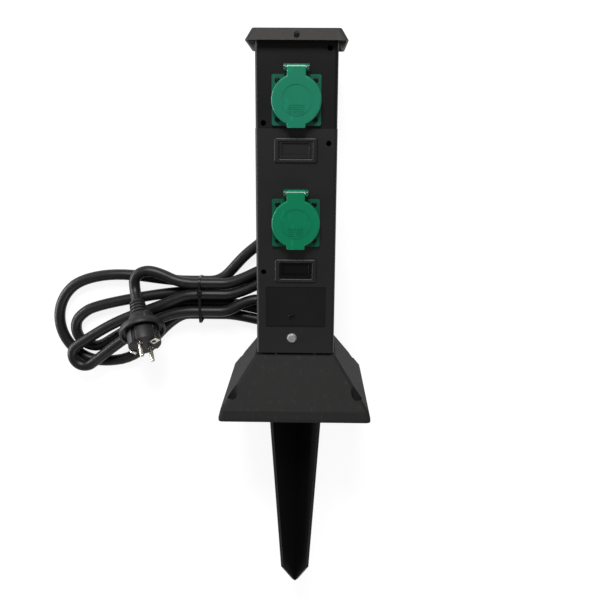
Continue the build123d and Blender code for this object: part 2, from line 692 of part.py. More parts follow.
def outer_turn():
    """The upper layer's right end, which stays clear of the rising turn inside it."""
    ways = (Vector(1, 0, 0), Vector(0, 1, 0), Vector(-1, 0, 0))
    return [(Vector(x, y, HIGH_Z), way) for (x, y), way in zip(RIGHT_TOP_TURN, ways)]


def hank_stations():
    """The hank's three loops: two side by side below, and one on top of them."""
    out, inner, right = PITCH / 2, -PITCH / 2, WAIST_LONG
    left_outer = guide(slot(1.5, LOW_Z, -1), *half_turn(LEFT_TURN, 90, LOW_Z), slot(-1.5, LOW_Z, 1))
    dive = (Vector(-205, 104, LOW_Z), Vector(-0.97, -0.24, 0).normalized())
    left_inner = guide(slot(0.5, LOW_Z, -1), dive, *half_turn(LEFT_INNER_TURN, 90, LOW_Z), slot(-0.5, LOW_Z, 1))
    right_low = guide(slot(-1, LOW_Z, 1, right), *half_turn(RIGHT_TURN, 270, LOW_Z), slot(0, LOW_Z, -1, right))
    risen = guide(half_turn(RIGHT_TURN, 270, HIGH_Z, inner)[-1], slot(0.5, HIGH_Z, -1, right))
    bend = (Vector(-178, 88.6, HIGH_Z), Vector(-0.95, -0.31, 0).normalized())
    left_high = guide(slot(0.5, HIGH_Z, -1), bend, *half_turn(LEFT_TOP_TURN, 90, HIGH_Z), slot(-1, HIGH_Z, 1))
    hump = (Vector(-46, 100.0, HIGH_Z), Vector(1, 0, 0))
    right_high = guide(slot(-1, HIGH_Z, 1, right), hump, *outer_turn())
    stations = [slot(1.5, LOW_Z, -1, LEAD_MEETS)] + left_outer + lane(right_low, out)
    stations += left_inner + lane(right_low, inner)[:3] + climbing_turn(inner)[1:]
    stations += risen[1:] + left_high + right_high + lane(risen, PITCH)[1:]
    return stations + [slot(1.5, HIGH_Z, -1), slot(1.5, HIGH_Z, -1, -TAIL_MEETS)]


def hank_wire():
    edges = []
    for (start, way), (end, _) in zip(hank_stations(), hank_stations()[1:]):
        straight = way.cross(end - start).length < 1e-6
        edges.append(Line(start, end) if straight else TangentArc(start, end, tangent=way))
    return Wire([piece.edge() for piece in edges])


def cord_hank():
    path = hank_wire()
    start = Plane(origin=path @ 0, z_dir=path % 0)
    return sweep(start * Circle(CORD_R), path=path)


def plug_plane(along=0.0):
    """The plug's own plane at a distance from its neck, facing along its pins."""
    axis = unit(PLUG_AXIS)
    origin = Vector(*PLUG_AT) + axis * along
    pins = Vector(*PLUG_PINS_ALONG)
    return Plane(origin=origin, x_dir=pins - axis * pins.dot(axis), z_dir=axis)


def tail_points():
    """The free tail's route from the hank's waist to the plug's neck."""
    enter = plug_plane(-17.0).origin
    return (
        (WAIST_X - TAIL_MEETS, WAIST_Y + 1.5 * PITCH, HIGH_Z),
        (WAIST_X - TAIL_MEETS - 7.5, WAIST_Y + 1.5 * PITCH, HIGH_Z),
        (-152.0, 124.0, HIGH_Z + 0.1),
        (-167.0, 131.5, HIGH_Z + 0.2),
        (-182.0, 135.0, HIGH_Z + 0.3),
        (-193.5, 132.0, HIGH_Z + 0.3),
        (-200.9, 123.0, HIGH_Z + 0.2),
        (enter.X, enter.Y, enter.Z),
        PLUG_AT,
    )


def arc_radii(points):
    """The largest arc that each corner's two runs allow."""
    radii = []
    for before, here, after in zip(points, points[1:], points[2:]):
        into, out = Vector(*here) - Vector(*before), Vector(*after) - Vector(*here)
        half = math.radians(into.get_angle(out)) / 2
        radii.append(0.45 * min(into.length, out.length) / math.tan(half))
    return radii


def free_cord(name, points):
    """A free stretch of the lead, with its radii and its volume printed."""
    radii = arc_radii(points)
    body = tube(points, radii, CORD_R)
    length = FilletPolyline(*points, radius=radii).length
    print(name, "radii", [round(r, 1) for r in radii], "length", round(length, 1),
          "volume over section times length", round(body.volume / (math.pi * CORD_R**2 * length), 4))
    return body


def cord_tie():
    """The band round the hank's waist."""
    width, low, high = 4 * PITCH + 0.6, FLOOR + 0.1, HIGH_Z + CORD_R + 1.2
    plane = Plane(origin=(WAIST_X - 1.5, WAIST_Y, (low + high) / 2), x_dir=(0, 1, 0), z_dir=(1, 0, 0))
    outer = extrude(plane * RectangleRounded(width + 2.4, high - low, 6.9), 3.0)
    return outer - extrude(plane * RectangleRounded(width, high - low - 2.2, 5.8), 3.0)


def plug_body():
    """The moulded plug: ribbed neck, grip with two oval pads, collar with its sealing lip, and the front."""
    outline = Polyline((0, 0), (8.2, 0), (9.6, 19), (12.1, 21.2), (14.0, 26.5), (15.4, 36.2), (17.2, 37.8))
    outline += Polyline((17.2, 37.8), (25.4, 38.4), (27.5, 40.2), (27.5, 44.8), (25.9, 46.6), (24.4, 46.2))
    outline += Polyline((24.4, 46.2), (23.7, 42.2), (FRONT_R, 42.2), (FRONT_R, FRONT - 1), (FRONT_R - 1, FRONT))
    outline += Polyline((FRONT_R - 1, FRONT), (0, FRONT), (0, 0))
    body = revolve(Plane.XZ * make_face(outline), Axis.Z)
    for step in range(4):
        body += Pos(0, 0, 3.5 + 4.6 * step) * Cylinder(9.3 + 0.35 * step, 2.2)
    for side in (1, -1):
        pad = extrude(Plane(origin=(0, side * 8, 29.2), z_dir=(0, side, 0)) * Ellipse(9.4, 8.4), 8.6)
        body += fillet(pad.faces().sort_by(Axis.Y)[-1 if side > 0 else 0].edges(), 2.0)
        body -= block(side * 16.6, side * 20.0, -3.0, 3.0, 43, 64)
        body -= block(-4.5, 4.5, *sorted((side * 16.6, side * 20.0)), 46.5, 64)
        body -= disc(side * PIN_OFFSET, 0, FRONT - 0.6, 64, 3.2)
    return plug_plane() * body


def plug_pins():
    out = []
    for side in (1, -1):
        pin = disc(side * PIN_OFFSET, 0, FRONT - 0.6, FRONT + PIN_LONG, PIN_R)
        out.append(plug_plane() * fillet(top_edges(pin), 1.4))
    return out


def plug_earth():
    """The plug's two earth contacts, one of them with the round hole for a fixed earth pin."""
    block_contact = block(-4.3, 4.3, 9.4, 19.2, FRONT, FRONT + 1.6) + block(-4.3, 4.3, 17.6, 19.2, 47, FRONT + 1.5)
    block_contact -= disc(0, 13.2, FRONT - 1, FRONT + 4, 2.5)
    clip = block(-4.3, 4.3, -19.2, -17.6, 47, FRONT + 1.1) + block(-3.0, 3.0, -18.0, -15.6, FRONT, FRONT + 1.1)
    place = plug_plane()
    return [place * block_contact, place * clip]


def least_gap():
    """The least gap of the lead to itself, measured on points along the hank."""
    path = hank_wire()
    count = int(path.length / 2.5)
    points = [path @ (i / count) for i in range(count + 1)]
    skip = int(3 * CORD_D / 2.5)
    gaps = [(points[i] - points[j]).length for i in range(len(points)) for j in range(i + skip, len(points))]
    return min(gaps) - CORD_D, path.length


def outlet_nodes(name):
    return {
        f"{name}_socket_insert": insert(name),
        f"{name}_socket_gasket": gasket(name),
        f"{name}_flange_screws": flange_screws(name),
        f"{name}_earth_clip": earth_clip(name),
        f"{name}_contacts": contacts(name),
        f"{name}_rear_cap": rear_cap(name),
        f"{name}_lid": lid(name),
        f"{name}_lid_seal": lid_seal(name),
        f"{name}_hinge_pin": hinge_pin(name),
        f"{name}_hinge_spring": hinge_spring(name),
    }


def post_nodes():
    return {
        "roof_cap": roof_cap(),
        "roof_screws": roof_screws(),
        "upper_front_housing": upper_front_housing(),
        "upper_rear_housing": upper_rear_housing(),
        "upper_housing_screws": housing_screws(UPPER_SCREWS),
        "lower_front_housing": lower_front_housing(),
        "lower_rear_housing": lower_rear_housing(),
        "lower_housing_screws": housing_screws(LOWER_SCREWS),
        "upper_window_blank": window_blank(*WINDOWS["upper"], 1.6),
        "lower_window_blank": window_blank(*WINDOWS["lower"], 1.8),
        "terminal_cover": terminal_cover(),
        "terminal_cover_screw": terminal_cover_screw(),
        "base": base(),
        "ground_spike": ground_spike(),
        "spike_screws": spike_screws(),
        "foot_bolt": foot_bolt(),
        "foot_washer": foot_washer(),
        "foot_nut": foot_nut(),
    }


def inner_nodes():
    nodes = {
        "terminal_block": terminal_block(),
        "terminal_screws": terminal_screws(),
        "terminal_mount_screws": terminal_mount_screws(),
        "cord_clamp": cord_clamp(),
        "clamp_screws": clamp_screws(),
        "cord_inner": cord_inner(),
    }
    return nodes | {f"{colour}_wires": wires(colour) for colour in WIRES}


def lead_nodes():
    return {
        "cord_boot": cord_boot(),
        "cord_lead": free_cord("cord_lead", lead_points()),
        "cord_hank": cord_hank(),
        "cord_tail": free_cord("cord_tail", tail_points()),
        "cord_tie": cord_tie(),
        "plug_body": plug_body(),
        "plug_pins": plug_pins(),
        "plug_earth_contacts": plug_earth(),
    }


def main():
    os.makedirs("parts", exist_ok=True)
    nodes = post_nodes() | inner_nodes() | lead_nodes()
    for name in OUTLETS:
        nodes |= outlet_nodes(name)
    for name, shape in nodes.items():
        solid = Compound(children=shape) if isinstance(shape, list) else shape
        export_step(solid, f"parts/{name}.step")
    gap, length = least_gap()
    print("hank: least gap to itself", round(gap, 2), "mm, length", round(length, 1), "mm")


main()
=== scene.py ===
"""Dresses the garden socket post: camera, studio, mains lead, plug, small trim and every surface finish."""

import math

import bpy
from mathutils import Matrix, Vector


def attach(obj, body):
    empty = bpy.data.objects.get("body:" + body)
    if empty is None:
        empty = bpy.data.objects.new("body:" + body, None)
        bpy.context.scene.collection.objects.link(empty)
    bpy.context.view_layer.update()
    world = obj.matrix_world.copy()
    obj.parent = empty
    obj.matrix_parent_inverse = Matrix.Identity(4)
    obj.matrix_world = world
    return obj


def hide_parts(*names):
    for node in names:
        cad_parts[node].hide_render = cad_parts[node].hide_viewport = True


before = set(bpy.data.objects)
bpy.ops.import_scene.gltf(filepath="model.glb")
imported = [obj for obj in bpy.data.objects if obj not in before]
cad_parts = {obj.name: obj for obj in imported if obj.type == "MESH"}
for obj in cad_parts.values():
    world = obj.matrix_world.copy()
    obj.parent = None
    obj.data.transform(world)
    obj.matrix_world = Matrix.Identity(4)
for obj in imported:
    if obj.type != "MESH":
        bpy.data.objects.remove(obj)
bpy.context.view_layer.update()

# Places and sizes are in metres, in the frame of the post's parts
FLOOR = -0.082
FLOOR_SIZE = 8
FLOOR_GAP = 0.0002  # between the floor and what rests on it

# Lead and its hank, which lies in two layers
CORD_WIDTH = 0.0135
CORD_EXIT = (-0.03477, 0.17803, -0.0725)
PITCH = 0.0142
LOW_Z = FLOOR + CORD_WIDTH / 2 + 0.0010
HIGH_Z = LOW_Z + PITCH
WAIST = (-0.120, 0.099)
RIGHT_SHIFT, LEFT_SHIFT = 0.016, -0.014  # how far beside the waist strands still run straight
LEFT, RIGHT = 90, 270  # degrees at which a half turn at either end of the hank starts

# The hank's half turns: middle, radius, and lean in degrees
LEFT_TURN = ((-0.247, 0.069), 0.0557, 10.0)
LEFT_INNER_TURN = ((-0.259, 0.0575), 0.0235, 34.0)
LEFT_TOP_TURN = ((-0.270, 0.026), 0.0145, 38.0)
RIGHT_TURN = ((-0.001, 0.106), 0.0330, 0.0)
RIGHT_TOP_TURN = ((0.002, 0.1106), 0.0357, 0.0)
CORNER_STEP = 30.0  # degrees between the corners that a turn is drawn with

# Corners of the other runs: down from the boot, and in the upper layer under the plug, over the hank's
# right half, and up to the plug
DOWN_TO_HANK = (
    CORD_EXIT, (-0.0482, 0.1676, -0.0725), (-0.0660, 0.1530, -0.0732),
    (-0.0800, 0.1372, LOW_Z), (-0.0905, 0.1260, LOW_Z), (-0.1030, 0.1203, LOW_Z),
)
UNDER_PLUG = ((-0.1380, 0.1052), (-0.1580, 0.0967), (-0.1800, 0.0876), (-0.2090, 0.0775), (-0.2380, 0.0640))
BACK_UNDER_PLUG = ((-0.2250, 0.0425), (-0.1920, 0.0650), (-0.1600, 0.0800), (-0.1380, 0.0846))
OVER_HANK = ((-0.0860, 0.0850), (-0.0670, 0.0965), (-0.0460, 0.1020), (-0.0260, 0.0930), (-0.0120, 0.0770))
UP_TO_PLUG = ((-0.1500, 0.1232), (-0.1670, 0.1315), (-0.1825, 0.1360), (-0.1945, 0.1330), (-0.2015, 0.1250))
PLUG_APPROACH = (-0.2008, 0.1135, -0.0592)
PLUG_LEAD_IN = 0.010  # how long the cord runs straight before the plug

# Plug; its outline is given as radius and height, and its ribs grow wider one by one
PLUG_AT = (-0.196, 0.099, -0.0475)
PLUG_AXIS = (0.29, -0.65, 0.70)
PLUG_PINS_ALONG = (0.5, -0.6, -0.6)
PLUG_FRONT = 0.0635
PLUG_SIDES = 96
NECK_START = (0.0072, -0.0004)
RIBS = 4
RIB_STEP = 0.0047
RIB_GROWTH = 0.0004
RIB = ((0.0079, 0.0014), (0.0095, 0.0021), (0.0095, 0.0043), (0.0082, 0.0050))
PLUG_GRIP = (
    (0.0104, 0.0200), (0.0121, 0.0212), (0.0133, 0.0233), (0.0140, 0.0270), (0.0146, 0.0330),
    (0.0154, 0.0362),
)
PLUG_COLLAR = (
    (0.0172, 0.0378), (0.0254, 0.0384), (0.0268, 0.0390), (0.0274, 0.0402), (0.0274, 0.0448),
    (0.0270, 0.0460), (0.0259, 0.0466), (0.0247, 0.0463), (0.0241, 0.0452), (0.0237, 0.0424),
)
PLUG_FACE = (
    (0.0198, 0.0421), (0.0193, 0.0426), (0.0193, 0.0622), (0.0190, 0.0630), (0.0182, PLUG_FRONT),
    (0.0030, PLUG_FRONT),
)
GRIP_PAD_HALF = (0.0036, 0.0098, 0.0088)
GRIP_PAD_AT = (0.0134, 0, 0.0292)

# Cuts in the plug's front, and the rings of its pins; a groove is its middle, half sizes and bottom
PAST_FRONT = 0.0700  # the height up to which cutters reach
GROOVES = ((0.0184, 0, 0.0019, 0.0029, 0.0430), (0, 0.0182, 0.0045, 0.0017, 0.0480))
PIN_OFFSET = 0.0095
PIN_HOLE = ((0.0031, 0.0629), (0.0031, PAST_FRONT))
PIN_HOLE_SIDES = 32
PIN_RING = ((0.0025, 0.0628), (0.0030, 0.0628), (0.0030, 0.0637), (0.0029, 0.0640), (0.0026, 0.0640))
PIN_RING_SIDES = 40

# Cable tie; the corners of its head and of its cut end are measured from the middle of its head's foot
TIE_WIDTH = 0.0029
TIE_LENGTH = 2 * (2 * PITCH + 0.0004)
TIE_THICKNESS = 0.0009
TIE_CORNER = 0.0068
TIE_LOW = FLOOR + 0.0002
TIE_HIGH = HIGH_Z + CORD_WIDTH / 2 + 0.0011
TIE_HEAD_AT = (WAIST[0], WAIST[1] + 0.012, TIE_HIGH)
TIE_HEAD = ((-0.0030, -0.0028, -0.0004), (0.0030, 0.0028, 0.0034))
TIE_END = ((-0.0013, -0.0024, 0.0020), (0.0013, -0.0014, 0.0062))

# Camera: angles in radians, lens and sensor in millimetres
CAMERA_AT = (0.0145, 0.3033, 0.7639)
CAMERA_PITCH = 0.2415
CAMERA_YAW = -0.013
CAMERA_ROLL = 0.0097
CAMERA_LENS = 41.11
SENSOR = 36.0
NEAREST_SEEN = 0.01

# Lights: name, place, target, size and power
LIGHTS = (
    ("key", (-0.10, 1.52, 1.22), (0, 0.1, 0), (0.6, 0.6), 43),
    ("side", (-1.4, 0.3, 0.16), (0, 0.1, 0), (1.2, 0.2), 20),
    ("low", (0.25, -1.1, 1.2), (0, 0.0, 0), (1.2, 0.6), 9),
)
SKY_LIGHT = 0.22

# The floor's two pale shades, and its colour and glow where the camera, metal or glass sees it
FLOOR_SHADES = ((0.83, 0.83, 0.83), (0.86, 0.86, 0.86))
FLOOR_SEEN = (0.16, 0.16, 0.16)
FLOOR_GLOW = (0.87, 0.87, 0.87)


def make_camera():
    """The camera in front of the post's upper half, tilted towards its foot."""
    ahead = Vector((
        math.sin(CAMERA_YAW),
        -math.sin(CAMERA_PITCH) * math.cos(CAMERA_YAW),
        -math.cos(CAMERA_PITCH) * math.cos(CAMERA_YAW),
    )).normalized()
    right = Vector((1, 0, 0))
    right = (right - ahead * right.dot(ahead)).normalized()
    up = right.cross(ahead)
    c, s = math.cos(CAMERA_ROLL), math.sin(CAMERA_ROLL)
    right, up = right * c + up * s, up * c - right * s
    data = bpy.data.cameras.new("camera")
    data.lens = CAMERA_LENS
    data.sensor_width = SENSOR
    data.clip_start = NEAREST_SEEN
    camera = bpy.data.objects.new("camera", data)
    turn = Matrix((right, up, -ahead)).transposed().to_4x4()
    camera.matrix_world = Matrix.Translation(CAMERA_AT) @ turn
    bpy.context.scene.collection.objects.link(camera)
    bpy.context.scene.camera = camera


# Mains lead


def slot(number, z, shift=0.0):
    """A place at the hank's waist: slots are a pitch apart, from the waist's middle up."""
    return Vector((WAIST[0] + shift, WAIST[1] + number * PITCH, z))


def turn_ends(turn, start, z):
    """Where a half turn starts and ends, and the ways it runs there."""
    (x, y), radius, lean = turn
    out = []
    for angle in (start + lean, start + lean + 180):
        c, s = math.cos(math.radians(angle)), math.sin(math.radians(angle))
        out.append((Vector((x + radius * c, y + radius * s, z)), Vector((-s, c, 0))))
    return out


def turn_corners(turn, start, z, rise=0.0):
    """The corners of the polygon that a half turn of the cord runs inside."""
    (x, y), radius, lean = turn
    reach = radius / math.cos(math.radians(CORNER_STEP / 2))
    count = int(180 / CORNER_STEP)
    out = []
    for step in range(count):
        angle = math.radians(start + lean + (step + 0.5) * CORNER_STEP)
        share = (step + 0.5) / count
        height = z + rise * share * share * (3 - 2 * share)
        out.append(Vector((x + reach * math.cos(angle), y + reach * math.sin(angle), height)))
    return out


def half_loop(enter, turn, start, z, leave, rise=0.0, straight=0.8):
    """One end of the hank: from a slot, round the turn and back to another slot.

    The cord runs straight for a share of the turn's radius before and after the turn.
    """
    way = Vector((-1 if start == LEFT else 1, 0, 0))
    (first, heading_in), (last, heading_out) = turn_ends(turn, start, z)
    last = last + Vector((0, 0, rise))
    quarter_in = (first - enter).length / 4
    quarter_out = (leave - last).length / 4
    longest = straight * turn[1]
    return [
        enter, enter + way * quarter_in, first - heading_in * min(quarter_in, longest),
        *turn_corners(turn, start, z, rise),
        last + heading_out * min(quarter_out, longest), leave + way * quarter_out, leave,
    ]


def beside(points, offset):
    """The corners of a strand that runs beside another one, further in where the offset is negative."""
    out = []
    for number, place in enumerate(points):
        into = place - points[number - 1] if number else points[1] - place
        leave = points[number + 1] - place if number + 1 < len(points) else into
        sides = [Vector((way.y, -way.x, 0)).normalized() for way in (into, leave)]
        middle = (sides[0] + sides[1]).normalized()
        out.append(place + middle * (offset / middle.dot(sides[0])))
    return out


def upper(places):
    """Places in the hank's upper layer."""
    return [Vector((x, y, HIGH_Z)) for x, y in places]


def cord_route():
    """Where the lead goes: out of its boot, three times round the hank, and up into the plug."""
    outward, inward = PITCH / 2, -PITCH / 2
    left_outer = half_loop(slot(1.5, LOW_Z), LEFT_TURN, LEFT, LOW_Z, slot(-1.5, LOW_Z))
    left_inner = half_loop(slot(0.5, LOW_Z), LEFT_INNER_TURN, LEFT, LOW_Z, slot(-0.5, LOW_Z))
    left_top = half_loop(slot(0.5, HIGH_Z), LEFT_TOP_TURN, LEFT, HIGH_Z, slot(-1, HIGH_Z), straight=0.4)
    low_start, high_start = slot(-1, LOW_Z, RIGHT_SHIFT), slot(-1, HIGH_Z, RIGHT_SHIFT)
    low_end, high_end = slot(0, LOW_Z, RIGHT_SHIFT), slot(1, HIGH_Z, RIGHT_SHIFT)
    right_low = half_loop(low_start, RIGHT_TURN, RIGHT, LOW_Z, low_end)
    right_rising = half_loop(low_start, RIGHT_TURN, RIGHT, LOW_Z, high_end, PITCH)
    right_top = half_loop(high_start, RIGHT_TOP_TURN, RIGHT, HIGH_Z, high_end)
    return [
        *[Vector(place) for place in DOWN_TO_HANK],
        *left_outer, *beside(right_low, outward),
        *left_inner, *beside(right_rising, inward),
        left_top[0], *upper(UNDER_PLUG), *left_top[2:-2], *upper(BACK_UNDER_PLUG), left_top[-1],
        right_top[0], *upper(OVER_HANK), *right_top[3:-3], *beside(right_rising, outward)[-3:],
        slot(1.5, HIGH_Z), slot(1.5, HIGH_Z, LEFT_SHIFT), *upper(UP_TO_PLUG),
        Vector(PLUG_APPROACH), plug_matrix() @ Vector((0, 0, -PLUG_LEAD_IN)), Vector(PLUG_AT),
    ]


def plug_matrix():
    """Puts a piece that is made upright at the origin where the plug is."""
    axis = Vector(PLUG_AXIS).normalized()
    pins = Vector(PLUG_PINS_ALONG)
    pins = (pins - axis * pins.dot(axis)).normalized()
    turn = Matrix((pins, axis.cross(pins), axis)).transposed().to_4x4()
    return Matrix.Translation(PLUG_AT) @ turn


def make_cord():
    """The whole lead as one smooth curve."""
    data = bpy.data.curves.new("mains_cord", "CURVE")
    data.dimensions = "3D"
    points = cord_route()
    spline = data.splines.new("NURBS")
    spline.points.add(len(points) - 1)
    for point, place in zip(spline.points, points):
        point.co = (*place, 1.0)
    spline.order_u = 3
    spline.use_endpoint_u = True
    spline.resolution_u = 6
    data.bevel_depth = CORD_WIDTH / 2
    data.bevel_resolution = 7
    cord = bpy.data.objects.new("mains_cord", data)
    bpy.context.scene.collection.objects.link(cord)
    return cord


# Modelling tools


def deselect():
    """Leaves nothing selected, so that a tool works on one piece only."""
    for thing in bpy.context.selected_objects:
        thing.select_set(False)


def activate(piece, *others):
    """Selects a piece, and others with it, and makes it the active one."""
    deselect()
    for thing in (piece, *others):
        thing.select_set(True)
    bpy.context.view_layer.objects.active = piece


def begin(name):
    """Names the primitive that was just added and opens it in edit mode."""
    piece = bpy.context.active_object
    piece.name = name
    piece.data.name = name
    bpy.ops.object.mode_set(mode="EDIT")
    bpy.context.tool_settings.mesh_select_mode = (True, True, True)
    return piece


def done(piece, smooth=35.0):
    """Closes edit mode, settles the piece's place into its mesh and smooths it by angle."""
    bpy.ops.object.mode_set(mode="OBJECT")
    activate(piece)
    bpy.ops.object.transform_apply(location=True, rotation=True, scale=True)
    bpy.ops.object.shade_smooth_by_angle(angle=math.radians(smooth))
    return piece


def turned(name, profile, sides, x=0.0):
    """A piece turned about an upright axis: a ring drawn out along a profile and closed at both ends."""
    deselect()
    radius, height = profile[0]
    bpy.ops.mesh.primitive_circle_add(
        vertices=sides, radius=radius, fill_type="NOTHING", location=(x, 0, height))
    piece = begin(name)
    bpy.ops.mesh.select_all(action="SELECT")
    for (r0, z0), (r1, z1) in zip(profile, profile[1:]):
        bpy.ops.mesh.extrude_region_move(TRANSFORM_OT_translate={"value": (0, 0, z1 - z0)})
        bpy.ops.transform.resize(value=(r1 / r0, r1 / r0, 1), center_override=(x, 0, z1))
    bpy.ops.mesh.edge_face_add()
    bpy.ops.mesh.select_all(action="DESELECT")
    bpy.ops.mesh.select_non_manifold()
    bpy.ops.mesh.edge_face_add()
    bpy.ops.mesh.select_all(action="SELECT")
    bpy.ops.mesh.normals_make_consistent(inside=False)
    return done(piece, 30.0)


def box_piece(name, low, high, bevel=0.0, segments=3):
    """A block between two corners, with its edges rounded."""
    deselect()
    middle = [(a + b) / 2 for a, b in zip(low, high)]
    size = [b - a for a, b in zip(low, high)]
    bpy.ops.mesh.primitive_cube_add(size=1, location=middle)
    piece = begin(name)
    bpy.ops.mesh.select_all(action="SELECT")
    bpy.ops.transform.resize(value=size, center_override=middle)
    if bevel:
        bpy.ops.mesh.bevel(offset=bevel, segments=segments, affect="EDGES")
    return done(piece)


def moved(corners, place):
    """A block's corners, measured from a place instead of the origin."""
    return [[a + b for a, b in zip(corner, place)] for corner in corners]


def spread(spots, axis):
    """How far a few points reach along an axis."""
    return max(spot[axis] for spot in spots) - min(spot[axis] for spot in spots)


def select_where(piece, kind, wanted):
    """In edit mode, selects the edges or faces whose corners pass a test."""
    bpy.ops.mesh.select_all(action="DESELECT")
    bpy.ops.mesh.select_mode(type=kind)
    bpy.ops.object.mode_set(mode="OBJECT")
    place = piece.matrix_world
    for part in piece.data.edges if kind == "EDGE" else piece.data.polygons:
        part.select = wanted([place @ piece.data.vertices[number].co for number in part.vertices])
    bpy.ops.object.mode_set(mode="EDIT")


def join(first, *others):
    """Makes several pieces one object."""
    activate(first, *others)
    bpy.ops.object.join()
    return first


def cut(piece, tool):
    """Takes one piece out of another."""
    modifier = piece.modifiers.new("boolean", "BOOLEAN")
    modifier.operation = "DIFFERENCE"
    modifier.object = tool
    modifier.solver = "EXACT"
    activate(piece)
    bpy.ops.object.modifier_apply(modifier=modifier.name)
    bpy.data.objects.remove(tool)


def put(piece, matrix):
    """Moves a piece's mesh and leaves its object at the origin."""
    piece.data.transform(matrix)
    piece.data.update()
    return piece


# Plug and tie


def groove_cutter(side, x, y, half_x, half_y, bottom):
    """A block that cuts one of the grooves on one side of the plug's front."""
    x, y = side * x, side * y
    return box_piece("cutter", (x - half_x, y - half_y, bottom), (x + half_x, y + half_y, PAST_FRONT))


def make_plug():
    """The moulded plug: ribbed neck, oval grip, wide sealing collar and the grooved front."""
    profile = [NECK_START]
    for rib in range(RIBS):
        profile += [(radius + rib * RIB_GROWTH, height + rib * RIB_STEP) for radius, height in RIB]
    profile += [*PLUG_GRIP, *PLUG_COLLAR, *PLUG_FACE]
    plug = turned("plug_body_shape", profile, PLUG_SIDES)
    for side in (1, -1):
        for groove in GROOVES:
            cut(plug, groove_cutter(side, *groove))
        cut(plug, turned("cutter", PIN_HOLE, PIN_HOLE_SIDES, side * PIN_OFFSET))
    plug = join(plug, grip_pad(90.0), grip_pad(270.0))
    return put(plug, plug_matrix())


def grip_pad(turn):
    """One of the grip's two raised ovals, where a thumb and a finger pull, turned by degrees."""
    deselect()
    bpy.ops.mesh.primitive_uv_sphere_add(segments=32, ring_count=20, radius=1, location=(0, 0, 0))
    pad = begin("grip_pad")
    bpy.ops.mesh.select_all(action="SELECT")
    bpy.ops.transform.resize(value=GRIP_PAD_HALF, center_override=(0, 0, 0))
    bpy.ops.transform.translate(value=GRIP_PAD_AT)
    done(pad, 60.0)
    return put(pad, Matrix.Rotation(math.radians(turn), 4, "Z"))


def make_pin_rings():
    """The bright rings in which the plug's two pins stand."""
    rings = [turned("plug_pin_rings", PIN_RING, PIN_RING_SIDES, side * PIN_OFFSET) for side in (1, -1)]
    return put(join(*rings), plug_matrix())


def make_tie():
    """The cable tie round the hank's waist, with its ratchet head and its cut end."""
    middle = (*WAIST, (TIE_LOW + TIE_HIGH) / 2)
    deselect()
    bpy.ops.mesh.primitive_cube_add(size=1, location=middle)
    band = begin("cord_tie_band")
    bpy.ops.mesh.select_all(action="SELECT")
    size = (TIE_WIDTH, TIE_LENGTH, TIE_HIGH - TIE_LOW)
    bpy.ops.transform.resize(value=size, center_override=middle)
    select_where(band, "EDGE", lambda spots: spread(spots, 0) > TIE_WIDTH / 2)
    bpy.ops.mesh.bevel(offset=TIE_CORNER, segments=10, affect="EDGES")
    select_where(band, "FACE", lambda spots: spread(spots, 0) < TIE_WIDTH / 2)
    bpy.ops.mesh.inset(thickness=TIE_THICKNESS)
    bpy.ops.mesh.bridge_edge_loops(use_merge=False)
    done(band)
    head = box_piece("head", *moved(TIE_HEAD, TIE_HEAD_AT), bevel=0.0008, segments=2)
    end = box_piece("end", *moved(TIE_END, TIE_HEAD_AT), bevel=0.0002, segments=1)
    return join(band, head, end)


# Finishes


class Value:
    """A socket of a finish's nodes, on which sums are written."""

    def __init__(self, finish, socket):
        self.finish = finish
        self.socket = socket

    def sum(self, operation, other):
        return self.finish.node("ShaderNodeMath", {"operation": operation}, {0: self, 1: other})

    def __add__(self, other):
        return self.sum("ADD", other)

    def __sub__(self, other):
        return self.sum("SUBTRACT", other)

    def __mul__(self, other):
        return self.sum("MULTIPLY", other)

    def past(self, edge, width):
        """0 below an edge and 1 above it, with a soft step."""
        return self.finish.node("ShaderNodeMapRange", {"interpolation_type": "SMOOTHSTEP"},
                                {"Value": self, "From Min": edge - width / 2, "From Max": edge + width / 2})


